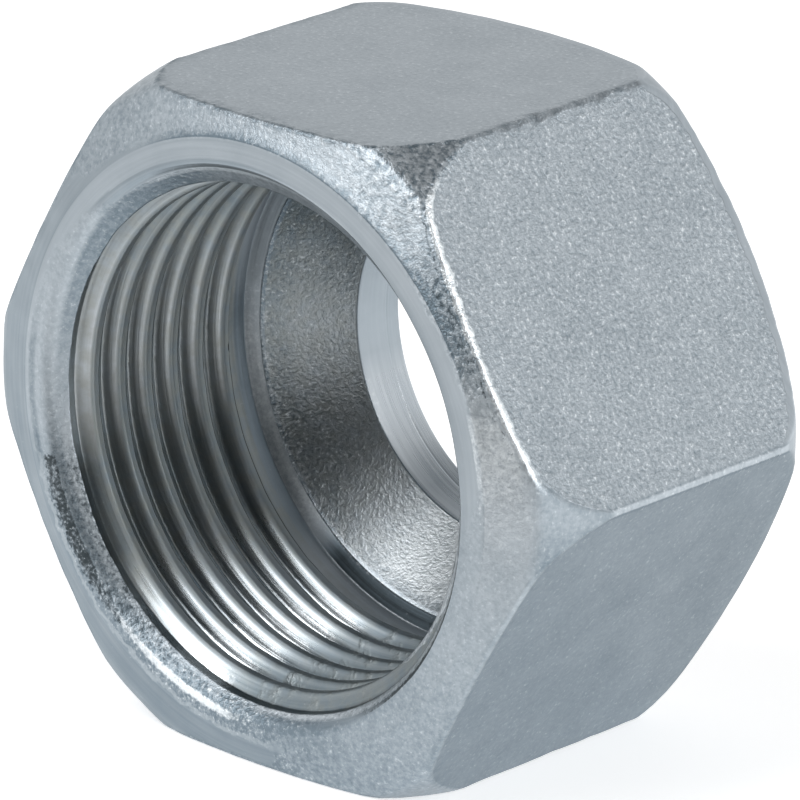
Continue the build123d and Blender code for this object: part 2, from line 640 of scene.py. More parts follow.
def thread_depths(profile, angle, first, last):
    """Depths that catch every bend of the bore between two depths, least first."""
    lead = profile.pitch * angle / 360.0
    wanted = []
    count = int((last - first) / profile.pitch) + 3
    start = math.floor((first - THREAD_START - lead) / profile.pitch)
    half, flank = profile.crest_half, profile.flank
    root = (flank - 0.08, flank - 0.02, flank + 0.05)
    after = (-0.07, -0.02, 0.01, 0.045, flank * 0.35, flank * 0.7, *root)
    before = (-0.14, -0.06, -0.01, 0.04, 0.11, flank * 0.45, flank * 0.7, *root)
    for number in range(start, start + count):
        middle = profile.crest(number, angle)
        edge = middle + half - profile.torn(number, angle)
        wanted += [middle, *(edge + away for away in after)]
        wanted += [middle - half - away for away in before]
    wanted = [d for d in wanted if first < d < last and profile.cutter(d, angle) == 1]
    plain = [*np.arange(first + 0.12, 1.5, 0.12), *np.arange(9.3, last, 0.11)]
    wanted += [d for d in plain if d < last and profile.cutter(d, angle) != 1]
    fine = np.linspace(first, last, 400)
    kinds = [profile.cutter(d, angle) for d in fine]
    meetings = []
    for low, high, kind, next_kind in zip(fine, fine[1:], kinds, kinds[1:]):
        if kind == next_kind:
            continue
        for _ in range(12):
            middle = (low + high) / 2
            if profile.cutter(middle, angle) == kind:
                low = middle
            else:
                high = middle
        meetings += [low - 0.05, low - 0.015, low + 0.015, low + 0.05]
    meetings = [d for d in meetings if first < d < last]
    clear = [d for d in wanted if all(abs(d - m) > 0.02 for m in meetings)]
    depths = []
    for depth in sorted(clear + meetings):
        if not depths or depth - depths[-1] > 0.008:
            depths.append(depth)
    return depths


def thread_rows(profile, angle, lip):
    """The threaded part, from the relief groove back to the lip."""
    first = lip[0][3] + 0.04
    last = profile.relief_end - 0.56
    lead = profile.pitch * angle / 360.0
    rows = []
    for depth in reversed(thread_depths(profile, angle, first, last)):
        key = (KEY_START - depth + lead) / KEY_SPAN
        rows.append((ZONE_THREAD, key, profile.bore_radius(depth, angle), depth))
    return rows


def column(profile, angle):
    """All rows of the section at an angle, once round the wall."""
    lip = lip_rows(profile, angle)
    outside = outer_rows(profile, angle, lip[-1][2])
    return lip + outside + deep_rows(profile) + thread_rows(profile, angle, lip)


def column_angles():
    """Angles of the columns: closer over each long edge, wider on the right underneath."""
    close = (0.0, 0.16, 0.32, 0.47, 0.62)
    angles = []
    for angle in np.arange(0.0, 360.0, 1.0):
        from_edge = abs(angle % FLAT_ANGLE - FLAT_ANGLE / 2)
        spared = WIDE_FROM < angle < WIDE_TO and angle % 2 and from_edge > EDGE_REACH
        if from_edge > 0.5 and not spared:
            angles.append(angle)
    for edge in np.arange(FLAT_ANGLE / 2, 360.0, FLAT_ANGLE):
        angles += [edge + sign * off for off in close for sign in (-1, 1) if off]
        angles.append(edge)
    return sorted(angles)


def stitch(left, left_start, right, right_start):
    """Triangles between two columns, walked row by row so that like rows meet."""
    triangles = []
    i = j = 0
    while i < len(left) or j < len(right):
        a = left_start + i % len(left)
        b = right_start + j % len(right)
        left_next = left[i + 1][:2] if i + 1 < len(left) else (99, i - len(left))
        right_next = right[j + 1][:2] if j + 1 < len(right) else (99, j - len(right))
        if j >= len(right) or (i < len(left) and left_next <= right_next):
            i += 1
            triangles.append((a, b, left_start + i % len(left)))
        else:
            j += 1
            triangles.append((a, b, right_start + j % len(right)))
    return triangles


def nut_surface(profile):
    """Corners, triangles, and each corner's zone, angle, radius, depth and row."""
    angles = column_angles()
    columns = [column(profile, angle) for angle in angles]
    starts = np.cumsum([0] + [len(c) for c in columns]).tolist()
    triangles = []
    for n in range(len(columns) - 1):
        triangles += stitch(columns[n], starts[n], columns[n + 1], starts[n + 1])
    turn_on = profile.pitch / KEY_SPAN
    closing = [
        (zone, key + (turn_on if zone == ZONE_THREAD else 0.0), r, d)
        for zone, key, r, d in columns[0]
    ]
    triangles += stitch(columns[-1], starts[-2], closing, 0)
    facts = np.array(
        [
            (row[0], angle, row[2], row[3], row[1])
            for angle, rows in zip(angles, columns)
            for row in rows
        ]
    )
    turn = np.radians(facts[:, 1])
    corners = np.stack(
        [
            facts[:, 2] * np.sin(turn) * MM,
            facts[:, 3] * MM - profile.length * MM / 2,
            facts[:, 2] * np.cos(turn) * MM + AXIS_HEIGHT,
        ],
        axis=1,
    )
    return corners, np.array(triangles), level_lip(facts)


def soft_normals(corners, triangles):
    """Normals at the corners, where wide faces count for more than narrow ones."""
    a, b, c = (corners[triangles[:, k]] for k in range(3))
    facing = np.cross(b - a, c - a)
    normals = np.zeros_like(corners)
    for k in range(3):
        np.add.at(normals, triangles[:, k], facing)
    return normals / np.maximum(np.linalg.norm(normals, axis=1, keepdims=True), 1e-20)


def on_cone(facts):
    """Which points lie on the cone that opens the mouth."""
    zone, radius, depth = facts.T[[0, 2, 3]]
    return (zone == ZONE_THREAD) & (np.abs(radius - (LEAD_IN_RADIUS - depth)) < 0.06)


def level_lip(facts):
    """The same facts, with the lip and its cone as far out as where the mouth is round."""
    level = facts.copy()
    level[:, 2] += around(facts[:, 1], *LIP_INSET)
    moved = (facts[:, 0] == ZONE_LIP) | on_cone(level)
    level[:, 2] = np.where(moved, level[:, 2], facts[:, 2])
    return level


def past_crest(facts):
    """Millimetres from the middle of the last thread crest before each point."""
    angle, depth = facts.T[[1, 3]]
    return (depth - THREAD_START - THREAD_PITCH * angle / 360.0) % THREAD_PITCH


def in_thread(facts):
    """Which points lie in the thread, behind the cone that opens the mouth."""
    return (facts[:, 0] == ZONE_THREAD) & ~on_cone(facts)


def on_crest(facts):
    """Which points lie on a thread crest or on its side towards the relief groove."""
    radius, depth = facts.T[2:4]
    crest = (radius < CREST_TOP) | (past_crest(facts) < CREST_BACK) & (radius < CREST_SIDE)
    return in_thread(facts) & crest & (depth < RUN_OUT_END)


def in_bore(facts, first, last):
    """Which points lie behind the thread, between two depths."""
    zone, depth = facts.T[[0, 3]]
    return (zone == ZONE_DEEP) & (depth > first) & (depth < last)


def off_middle(angle):
    """Degrees from the middle of the nearest flat."""
    return np.abs((angle + FLAT_ANGLE / 2) % FLAT_ANGLE - FLAT_ANGLE / 2)


def ramp(value, start, run):
    """A straight rise from 0 to 1 over a run, or a fall where the run is less than 0."""
    return np.clip((value - start) / run, 0, 1)


def skin_distance(facts):
    """Millimetres from the turned surface into the forged skin, less than 0 on turned metal."""
    zone, angle, radius = facts.T[:3]
    inner = around(
        angle, (0, 10.0), (150, 10.0), (165, 11.9), (175, 12.3), (222, 12.33), (256, 12.25),
        (270, 12.37), (285, 12.35), (296, 12.25), (315, 11.6), (330, 10.0),
    )
    outer = around(
        angle, (0, 12.55), (36, 12.55), (46, 12.44), (70, 12.44), (82, 12.4), (95, 11.45),
        (165, 11.45), (174, 12.7), (188, 17.0), (290, 17.0), (315, 12.9), (345, 12.5),
    )
    front = np.maximum(inner - radius, radius - outer)
    skin = np.where(zone <= ZONE_FRONT, front, 1.0)
    skin = np.where(zone >= ZONE_BACK, -1.0, skin)
    torn = around(
        angle, (0, -0.25), (125, -0.2), (150, -0.12), (184, -0.12), (190, -0.42), (208, -0.42),
        (216, -0.3), (340, -0.3),
    )
    skin = np.where((zone == ZONE_THREAD) | in_bore(facts, 0, SEAT_START), torn, skin)
    return np.where(on_cone(facts) | in_bore(facts, SEAT_START, SEAT_END), 1.0, skin)


def grit_strength(facts):
    """How strongly the fine grains stand out, from 0 to 1."""
    zone, angle = facts.T[:2]
    flats = around(
        angle, (0, 0.5), (27, 0.5), (32, 1), (88, 1), (92, 0.22), (148, 0.22), (152, 0.3),
        (208, 0.3), (212, 0.5), (268, 0.5), (272, 0.4), (328, 0.4), (332, 0.5),
    )
    front = around(
        angle, (0, 0.55), (45, 0.6), (60, 0.6), (74, 0.3), (100, 0.28), (130, 0.33), (165, 0.4),
        (178, 0.8), (190, 1), (208, 0.9), (222, 0.5), (250, 0.4), (258, 0.3), (290, 0.3),
        (335, 0.4),
    )
    grit = np.where(zone <= ZONE_EDGE, front, flats)
    cone = around(
        angle, (0, 0.4), (165, 0.6), (185, 0.9), (212, 0.7), (226, 0.45), (250, 0.4), (258, 0.3),
        (290, 0.3),
    )
    grit = np.where(zone == ZONE_THREAD, cone, grit)
    seat = around(angle, (0, 0.6), (188, 1.1), (225, 1.2), (250, 1.2), (262, 1.2), (300, 0.8))
    return np.where(zone == ZONE_DEEP, seat, grit)


def mottle_strength(facts):
    """How strongly darker patches stand out between the grains, from 0 to 1."""
    zone, angle, radius = facts.T[:3]
    front = around(
        angle, (0, 0.2), (20, 0.2), (27, 0.6), (33, 0.6), (38, 0.25), (46, 0.6), (64, 0.6),
        (74, 0.2), (90, 0.15), (130, 0.2), (160, 0.2), (180, 0.3), (250, 0.3), (258, 0.15),
        (300, 0.15), (325, 0.25), (345, 0.3),
    )
    front = np.where((radius > 14.2) & (angle < 60), 0.95, front)
    mottle = np.where(zone <= ZONE_EDGE, front, 0.06)
    cone = around(angle, (0, 0.3), (180, 0.4), (250, 0.4), (258, 0.1), (290, 0.2))
    mottle = np.where(zone == ZONE_THREAD, cone, mottle)
    return np.where(zone == ZONE_DEEP, 0.0, mottle)


def polish(facts):
    """How bright the surface was cut, from 0 to 1."""
    angle, radius, depth = facts.T[1:4]
    flank = around(
        angle, (0, 0.6), (180, 0.5), (187, 0.7), (194, 0.95), (220, 0.95), (240, 0.6),
        (256, 0.75), (340, 0.7),
    )
    shine = np.where(in_thread(facts), flank, 0.58)
    shine = np.where(on_crest(facts), 0.0, shine)
    bore = around(angle, (0, 0.45), (220, 0.83), (250, 0.83), (258, 0.4), (300, 0.4))
    in_tube_bore = in_bore(facts, SEAT_END, np.inf) & (radius < TUBE_BORE_EDGE)
    shine = np.where(in_tube_bore, bore, shine)
    seat = around(angle, (0, 0.7), (182, 0.9), (206, 0.9), (222, 0.82), (296, 0.85), (304, 0.75))
    shine = np.where(in_bore(facts, SEAT_START, SEAT_END), seat, shine)
    relief = (depth > RUN_OUT_END) & (depth < SEAT_START) & (radius < 11.2)
    return np.where(relief, 0.35, shine)


def painted_highlight(facts):
    """Where a highlight is painted on the metal, from 0 to 1: along edges, corners and the lit
    flanks.
    """
    zone, angle, radius, depth, row = facts.T
    facing = around(angle, (33, 0), (36, 0.85), (60, 0.7), (78, 0.7), (83, 0.3), (87, 0))
    bright = np.where((zone == ZONE_EDGE) & (row > 0.05) & (row < 0.45), facing, 0.0)
    lip = around(
        angle, (174, 0), (184, 0.4), (191, 0.9), (205, 0.9), (213, 0.6), (219, 0.35), (231, 0)
    )
    lip = lip * ramp(radius, 11.94, -0.2) * ramp(radius, 11.42, 0.12)
    bright = np.where(zone <= ZONE_FRONT, lip, bright)
    line = around(angle, (223, 0), (231, 0.4), (243, 0.4), (252, 0))
    bright = np.where(in_bore(facts, BORE_LINE - 0.06, BORE_LINE + 0.06), line, bright)
    bore_edge = around(angle, (226, 0), (233, 0.4), (246, 0.4), (254, 0))
    bright = np.where(in_bore(facts, SEAT_END, BORE_EDGE_END), bore_edge, bright)
    corner = around(angle, (184, 0), (188, 0.6), (212, 0.6), (218, 0))
    bright = np.where(
        in_bore(facts, RELIEF_CORNER - 0.03, RELIEF_CORNER + 0.03) & (radius > 11.0), corner, bright
    )
    seat = around(angle, (180, 0.3), (188, 0.65), (200, 0.65), (206, 0.4), (216, 0))
    corner = around(angle, (196, 0.1), (210, 0.3), (250, 0.35), (290, 0.1))
    seat = np.where(depth < SEAT_CORNER_END, corner, seat)
    bright = np.where(in_bore(facts, WALL_END, SEAT_END), seat, bright)
    wall = around(angle, (216, 0), (226, 0.45), (252, 0.5), (264, 0.4), (278, 0.2), (290, 0))
    bright = np.where(in_bore(facts, WALL_START, WALL_END), wall, bright)
    near = around(angle, (88, 0), (94, 0.5), (122, 0.45), (136, 0))
    bright = np.where(on_cone(facts) & (radius < 11.33), near, bright)
    flank = around(angle, (189, 0), (194, 0.9), (203, 0.9), (210, 0))
    flank = flank * ramp(radius, 10.55, 0.25)
    cut = in_thread(facts) & ~on_crest(facts) & (depth < THREAD_END)
    bright = np.where(cut, flank, bright)
    # A painted highlight on the face towards the corner at 90 degrees
    worn = around(angle, (68, 0), (73, 0.5), (80, 0.5), (90, 0.15), (98, 0))
    return np.where((zone == ZONE_FRONT) & (radius > 12.2) & (radius < 14.2), worn, bright)


def burr_highlight(facts):
    """How strongly a highlight is painted along the torn line where turned metal meets skin, from 0
    to 1.
    """
    zone, angle, radius = facts.T[:3]
    line = around(angle, (170, 0), (180, 0.2), (250, 0.2), (258, 0.1), (298, 0))
    return np.where((zone <= ZONE_FRONT) & (radius < 12.6), line, 0.0)


def front_soot_and_shade(facts, profile):
    """Grime and painted shade on the face, the lip and the cone at the mouth."""
    zone, angle, radius = facts.T[:3]
    face = around(
        angle, (208, 0), (216, 0.5), (226, 0.66), (233, 0.8), (247, 0.8), (254, 0.76), (257, 0)
    )
    face = face - np.maximum(0.0, radius - 11.78)
    cone = around(angle, (186, 0.3), (205, 0.42), (222, 0.52), (250, 0.52), (258, 0.3), (275, 0))
    cone = cone + np.where(radius < 10.95, 0.08, 0.0) * (angle > 205) * (angle < 256)
    # Painted shade along the lip on the right of the opening
    rim = around(angle, (86, 0), (94, 0.62), (135, 0.62), (146, 0.5), (156, 0))
    cone = np.where(radius > 11.34, np.maximum(cone, rim), cone)
    dark = np.where(zone <= ZONE_FRONT, np.where(radius > 11.38, face, cone), 0.0)
    dark = np.where(on_cone(facts), cone, dark)
    # A band of painted shade under the bright line on the upper right edge
    band = around(
        angle, (40, 0), (46, 0.45), (52, 0.57), (60, 0.57), (66, 0.48), (69, 0.2), (71, 0)
    )
    band = band * ramp(radius, 12.6, 0.4)
    # Painted shade along the upper right edge
    hug = around(angle, (33, 0), (38, 0.64), (80, 0.64), (85, 0))
    inset = profile.apothem / np.cos(np.radians(off_middle(angle))) - radius
    hug = hug * np.clip(1.95 - inset / 0.3, 0, 1)
    front = (zone == ZONE_FRONT) & (radius > 12.5)
    dark = np.where(front, np.maximum(np.maximum(band, hug), dark), dark)
    # Painted shade along the lip, round the top and the right
    lip = around(
        angle, (318, 0), (326, 0.3), (336, 0.6), (348, 0.72), (12, 0.72), (20, 0.3), (28, 0.8),
        (78, 0.8), (84, 0.7), (100, 0.6), (110, 0.8), (130, 0.9), (150, 0.5), (156, 0),
    )
    edge = around(angle, (18, 11.46), (28, 11.47), (130, 11.47), (140, 11.46))
    lip = np.where((radius > 11.3) & (radius < edge), lip, 0.0)
    return np.where((zone == ZONE_LIP) | on_cone(facts), np.maximum(lip, dark), dark)


def soot_and_shade(facts, profile):
    """How much dark grime lies in the grain, and how much shade is painted in the roots, behind the
    crests and over the relief groove, from 0 to 1.
    """
    zone, angle, radius, depth = facts.T[:4]
    dark = front_soot_and_shade(facts, profile)
    # Painted shade on the thread flanks, darkest round the left
    flank = around(
        angle, (0, 0.55), (150, 0.45), (185, 0.1), (212, 0.1), (222, 0.34), (232, 0.54),
        (246, 0.54), (256, 0.46), (270, 0.43), (280, 0.5), (300, 0.5), (330, 0.55),
    )
    floor = around(
        angle, (0, 0.4), (184, 0), (212, 0.2), (222, 0.44), (232, 0.46), (256, 0.5),
        (275, 0.56), (290, 0.4), (300, 0.3),
    )
    root = around(angle, (0, 0.1), (185, 0.1), (190, 0), (206, 0), (213, 0.3), (224, 0.1))
    flank = flank + root * ramp(radius, 10.7, 0.25)
    cut = in_thread(facts) & ~on_crest(facts)
    dark = np.where(cut, flank, dark)
    past = past_crest(facts)
    # Painted shade behind each crest
    behind = around(angle, (0, 0.8), (180, 0.5), (186, 0), (203, 0), (210, 0.9), (218, 0.95))
    dark = np.where(on_crest(facts) & (past > 0.1) & (past < 0.5), behind, dark)
    first = around(angle, (214, 0), (224, 0.14), (250, 0.14), (257, 0))
    dark = np.where(cut & (depth < 2.0), dark + first, dark)
    # Painted shade over the floor and the back wall of the relief groove
    relief = (depth > RELIEF_START) & (depth < WALL_START) & (zone >= ZONE_DEEP)
    dark = np.where(relief, floor, dark)
    wall = around(
        angle, (0, 0.64), (184, 0.68), (212, 0.66), (218, 0.4), (224, 0), (264, 0), (280, 0.5)
    )
    return np.where(in_bore(facts, WALL_FOOT, SEAT_START), wall, dark)


def rim_nearness(facts, profile):
    """How near a flat's own outline is: 1 on it, 0 from half a millimetre in."""
    zone, angle, row = facts.T[[0, 1, 4]]
    side = profile.apothem * (
        math.tan(math.radians(FLAT_ANGLE / 2)) - np.tan(np.radians(off_middle(angle)))
    )
    front = np.where(row <= 0.5, row * FLAT_LENGTH, 1.0)
    near = 1.0 - np.minimum(side, front) / 0.5
    worn = around(angle, (0, 1), (31, 1), (35, 0.3), (300, 0.3), (325, 1))
    near = np.where(zone == ZONE_FLAT, near, np.where(zone == ZONE_EDGE, 1.0, 0.0))
    return np.clip(near, 0.0, 1.0) * worn


def outside_dull_and_painted_light(facts):
    """How dull the flats and the face at the mouth are, with their lip, and the shade and light
    painted on them by angle.
    """
    zone, angle, radius = facts.T[:3]
    # Tone of each flat, partly painted shade: darkest on the lower right flat, with painted light
    # and shade lines along the edge between the two right-hand flats
    flats = around(
        angle, (0, 0.43), (27, 0.43), (33, 0.42), (89, 0.44), (89.35, 0.65), (89.6, 0.3),
        (90.35, 0.35), (90.6, 1.1), (91, 0.88), (147, 0.88), (153, 0.8), (207, 0.8), (213, 0.6),
        (267, 0.6), (273, 0.55), (327, 0.55), (333, 0.43),
    )
    skin = around(
        angle, (0, 0.52), (8, 0.45), (22, 0.38), (36, 0.4), (42, 0.55), (48, 0.82), (57, 0.82),
        (63, 0.6), (69, 0.22), (74, 0.1), (90, 0.12), (97, 0.38), (105, 0.46), (135, 0.67),
        (165, 0.8), (200, 0.9), (260, 0.85), (320, 0.62), (340, 0.55),
    )
    seam = around(angle, (50, 1), (66, 0), (330, 0), (345, 1))
    skin = skin + seam * 0.36 * ramp(radius, 12.95, -0.35)
    skin = np.where(np.abs(radius - 12.54) < 0.01, skin + seam * 0.3, skin)
    corner = around(
        angle, (20, 0), (25, 0.05), (35, 0.05), (40, 0), (74, 0), (84, 0.48), (96, 0.48),
        (106, 0),
    )
    skin = skin + corner * ramp(radius, 14.25, 0.45)
    ring = around(
        angle, (0, 0.45), (30, 0.38), (50, 0.35), (72, 0.42), (84, 0.42), (95, 0.5), (104, 0.5),
        (120, 0.55), (136, 0.7), (150, 0.7), (165, 0.8), (184, 0.85), (204, 0.85), (222, 0.8),
        (240, 0.85), (255, 0.7), (262, 0.5), (280, 0.42), (300, 0.42), (315, 0.42), (335, 0.45),
        (350, 0.46),
    )
    dull = np.where(zone <= ZONE_EDGE, np.where(radius < 12.53, ring, skin), flats)
    left = around(angle, (252, 0), (257, 0.3), (278, 0.25), (286, 0))
    far = left * ramp(radius, 11.93, 0.12)
    dull = np.where(zone == ZONE_FRONT, dull + np.where(radius < 12.4, far, 0.0), dull)
    lip = around(
        angle, (0, 0.25), (12, 0.1), (24, 0), (44, 0.28), (64, 0.22), (78, 0.1), (112, 0.12),
        (140, 0), (156, 0.12), (176, 0.12), (182, 0), (310, 0), (316, 0.25),
    )
    return np.where(zone == ZONE_LIP, dull + lip, dull)


def relief_dull_and_painted_light(angle):
    """How dull the floor of the relief groove is, with shade and light painted on it by angle."""
    return around(
        angle, (0, 0.7), (150, 0.4), (184, 0), (212, 0.1), (222, 0.65), (232, 0.8), (255, 0.85),
        (272, 0.9), (288, 0.5), (300, 0.3), (320, 0.6),
    )


def thread_dull_and_painted_light(facts):
    """How dull the thread and the cone that opens it are, with shade and light painted on them by
    angle.
    """
    angle, radius, depth = facts.T[1:4]
    cone = around(
        angle, (0, 0.5), (20, 0.5), (32, 0.7), (66, 0.62), (76, 0.48), (88, 0.48), (94, 0),
        (125, 0.1), (140, 0.3), (150, 0.2), (160, 0.05), (173, 0.05), (184, 0.5), (205, 0.55),
        (216, 0.55), (250, 0.4), (258, 0.3), (270, 0.55), (285, 0.75), (300, 0.85), (315, 0.88),
        (328, 0.95), (340, 0.9), (352, 0.65),
    )
    glint = around(angle, (0, 0.6), (10, 0.4), (24, 0), (322, 0), (333, 0.6))
    cone = np.where((radius > 11.1) & (radius < 11.27), cone - glint, cone)
    crest = around(
        angle, (0, 0.8), (150, 0.85), (182, 0.9), (187, 0.95), (192, 0.65), (195, 0.6),
        (222, 0.7), (235, 0.85), (320, 0.85),
    )
    # The first turns, nearest the mouth, are painted lighter
    first = around(angle, (250, 0), (262, 0.35), (335, 0.35), (360, 0))
    crest = np.where(depth < 2.1, crest - first * 0.3, crest)
    root = around(
        angle, (0, 0.8), (150, 0.95), (182, 1), (189, 0.9), (197, 0.45), (222, 0.5), (230, 0.8),
        (248, 0.9), (258, 0.5), (270, 0.5), (290, 0.75), (308, 1), (325, 1), (340, 0.8),
    )
    light = around(
        angle, (0, 0.1), (184, 0.2), (250, 0.1), (258, 0.75), (274, 0.7), (300, 0.25), (330, 0.1)
    )
    root = root - light * ramp(radius, 10.65, -0.2)
    root = np.where(depth > RELIEF_START, relief_dull_and_painted_light(angle), root)
    root = np.where(depth < 2.0, root - first, root)
    return np.where(on_cone(facts), cone, np.where(on_crest(facts), crest, root))


def deep_dull_and_painted_light(facts):
    """How dull the relief groove, the seat and the tube bore are, with shade and light painted on
    them by angle.
    """
    angle, radius, depth = facts.T[1:4]
    seat = around(
        angle, (0, 0.9), (182, 0.1), (188, 0), (205, 0), (213, 0.05), (222, 0.3), (232, 0.5),
        (246, 0.5), (256, 0.3), (268, 0.33), (276, 0.45), (282, 0.58), (290, 0.55), (300, 0.85),
    )
    # Painted shade towards the seat's outer edge and painted light over its inner part
    rim = around(angle, (180, 0.3), (220, 0.3), (235, 0.1), (245, 0.2), (256, 0.45), (300, 0.3))
    seat = seat + rim * ramp(radius, 9.4, 0.7)
    inner = around(angle, (214, 0), (224, 0.5), (248, 0.6), (256, 0.1), (262, 0))
    seat = seat - inner * ramp(radius, 9.2, -1.2)
    wall = around(
        angle, (0, 1), (184, 1.05), (214, 1), (222, 0.3), (262, 0.2), (275, 0.5), (320, 0.75)
    )
    wall = np.where(depth < WALL_START, relief_dull_and_painted_light(angle), wall)
    bore = around(
        angle, (0, 0.65), (212, 0.5), (228, 0.12), (250, 0.2), (258, 0.48), (275, 0.62),
        (290, 0.68),
    )
    return np.where(depth < SEAT_START, wall, np.where(depth < BORE_START, seat, bore))


def dull_and_painted_light(facts):
    """How dull the plating is, from 0, bright, to 1, with shade and light painted in by angle."""
    zone, _, radius, _, row = facts.T
    dull = np.where(zone == ZONE_THREAD, thread_dull_and_painted_light(facts), outside_dull_and_painted_light(facts))
    dull = np.where(zone == ZONE_DEEP, deep_dull_and_painted_light(facts), dull)
    face = in_bore(facts, TUBE_FACE_START, np.inf) & (radius > TUBE_FACE_EDGE)
    return np.where(face | (zone == ZONE_BACK) & (row > 0.45), TUBE_END_STAIN, dull)


def warmth(facts):
    """How much of an olive tint the shaded inside has, from 0 to 1."""
    angle = facts[:, 1]
    seat = around(angle, (0, 0.3), (180, 0.15), (205, 0.15), (230, 0.4), (290, 0.4))
    tint = np.where(in_bore(facts, SEAT_LEVEL, BORE_START), seat, 0.0)
    thread = around(
        angle, (0, 0.3), (150, 0.5), (182, 0.3), (214, 0.3), (224, 0.55), (300, 0.55), (345, 0.3)
    )
    return np.where(in_thread(facts), thread, tint)


def zinc_plating(look):
    """Bright zinc over forged skin and turned metal, with painted shade and painted highlights."""
    zinc = Finish(bpy.data.materials.new("zinc_plated_steel"))
    place = zinc.node("ShaderNodeTexCoord", output="Object")
    x = zinc.node("ShaderNodeSeparateXYZ", None, {0: place})
    y = Value(zinc, x.socket.node.outputs[1])
    z = Value(zinc, x.socket.node.outputs[2]) - AXIS_HEIGHT
    radius = (x * x + z * z) ** 0.5
    ring = zinc.node(
        "ShaderNodeCombineXYZ",
        None,
        {
            0: (radius - y) * RINGS_PER_METRE,
            1: x / radius * RING_SPREAD,
            2: z / radius * RING_SPREAD,
        },
    )
    rings = zinc.node(
        "ShaderNodeTexNoise",
        {"noise_dimensions": "3D"},
        {"Vector": ring, "Scale": 0.45, "Detail": 3.0, "Roughness": 0.65},
        output="Fac",
    )
    fine = zinc.grain(place, FINE_GRAIN, 2.0, 0.7)
    coarse = zinc.grain(place, COARSE_GRAIN, 3.0, 0.65)
    crinkle = zinc.grain(place, CRINKLE, 3.0, 0.6)
    cloud = zinc.grain(place, CLOUD, 3.0, 0.55)
    burr_highlight_strength = zinc.measured("burr_highlight")
    inward = zinc.measured("skin") + (crinkle - 0.5) * (0.7 - burr_highlight_strength * 0.3)
    skin = zinc.step(inward, -0.16, 0.16)
    # A highlight painted along the torn line
    burr_highlight_line = burr_highlight_strength * zinc.step(inward * inward, 0.002, 0.018, 1.0, 0.0)
    grit = zinc.measured("grit")
    shine = zinc.measured("polish")
    mottle = zinc.measured("mottle")
    rim = zinc.measured("rim") * zinc.step(crinkle + (fine - 0.5) * 0.5, 0.42, 0.62)
    # Painted highlights, in the bright grain colour
    painted_highlight_mask = zinc.step(zinc.measured("painted_highlight") + (coarse + fine - 1) * 0.8, 0.15, 0.95)
    marks = 1 - skin * (1 - zinc.step(shine, 0.8, 0.95) * 0.4)
    grains = fine * grit + coarse * (mottle * 0.8 + rim * 0.6)
    bite = skin * grains * (1 - shine * 0.95)
    height = bite * look.grit_depth + (1 - skin) * rings * look.groove_depth
    patches = zinc.step(coarse, 0.36, 0.64) - 0.5
    # The dullness carries shade and light painted on by angle as well as the plating's own dullness
    dull = zinc.measured("dull_and_painted_light") + (cloud - 0.5) * 0.25 - patches * mottle * skin * 0.8
    sparkle = (fine - 0.5) * grit * skin * 1.4
    grooves = (rings - 0.5) * marks * (shine * shine * 1.1 + 0.1)
    dull = dull - sparkle - grooves + rim * 0.35
    colour = zinc.blend_colour(dull, opaque(look.zinc), opaque(look.dull_and_painted_light))
    tint = zinc.measured("warmth") * zinc.step(crinkle, 0.1, 0.8)
    colour = zinc.blend_colour(tint, colour, opaque(look.olive))
    # Dark grains darken the colour, and so does the shade painted in corners, roots and the relief
    # groove
    pits_and_shade = zinc.measured("soot_and_shade") + (0.5 - (fine + coarse) * 0.5) * (skin * 1.65 + 0.1)
    residue_and_shade = zinc.step(pits_and_shade + (rings - 0.5) * (1 - skin) * 0.35, 0.40, 0.88)
    colour = zinc.blend_colour(residue_and_shade * 0.88, colour, opaque(look.pit_and_shade))
    speck = zinc.step(fine, 0.60, 0.74) * skin * grit
    colour = zinc.blend_colour(speck * 0.7, colour, opaque(look.spark_and_highlight))
    colour = zinc.blend_colour(painted_highlight_mask, colour, opaque(look.spark_and_highlight))
    colour = zinc.blend_colour(burr_highlight_line * 0.85, colour, opaque(look.spark_and_highlight))
    rough_turned = 0.55 - shine * 0.33 + (rings - 0.5) * 0.16
    rough_skin = 0.46 - shine * 0.1 + (fine - 0.5) * 0.2
    roughness = rough_turned * (1 - skin) + rough_skin * skin + residue_and_shade * 0.3
    bump = zinc.node("ShaderNodeBump", None, {"Strength": 1.0, "Distance": 1.0, "Height": height})
    return zinc.surface(
        {"Metallic": 1.0, "Specular IOR Level": 0.5},
        {"Base Color": colour, "Roughness": roughness, "Normal": bump},
    )


def table_top(look):
    """Pale table that glows: a painted pool of light, full round the nut and dim in front of the
    mouth.
    """
    table = Finish(bpy.data.materials.new("pale_table"))
    place = table.node("ShaderNodeTexCoord", output="Object")
    soft = table.grain(place, 0.02, 2.0, 0.5)
    colour = table.blend_colour(soft, opaque(look.floor), opaque([c * 0.985 for c in look.floor]))
    y = table.node("ShaderNodeSeparateXYZ", None, {0: place}, output=1)
    # The glow is full round the nut and fades to a dim patch in front of the mouth: painted shade
    # on the table that the thread mirrors
    pool = table.step(y, GLOW_FAR, GLOW_NEAR, 0.15, 1.0)
    glow = table.blend_colour(pool, opaque((0, 0, 0)), opaque(look.floor))
    return table.surface(
        {"Roughness": 0.7, "Specular IOR Level": 0.2, "Emission Strength": look.floor_glow},
        {"Base Color": colour, "Emission Color": glow},
    )


def black_card():
    """Dull black, for the card that the mouth mirrors."""
    card = Finish(bpy.data.materials.new("black_card"))
    return card.surface(
        {"Base Color": (0.13, 0.135, 0.13, 1.0), "Roughness": 0.9, "Specular IOR Level": 0.1}, {}
    )


def direction(azimuth, elevation):
    """Unit vector from the nut, its azimuth turning from the mouth's side to the right."""
    turn, lift = math.radians(azimuth), math.radians(elevation)
    level = math.cos(lift)
    return Vector((math.sin(turn) * level, -math.cos(turn) * level, math.sin(lift)))


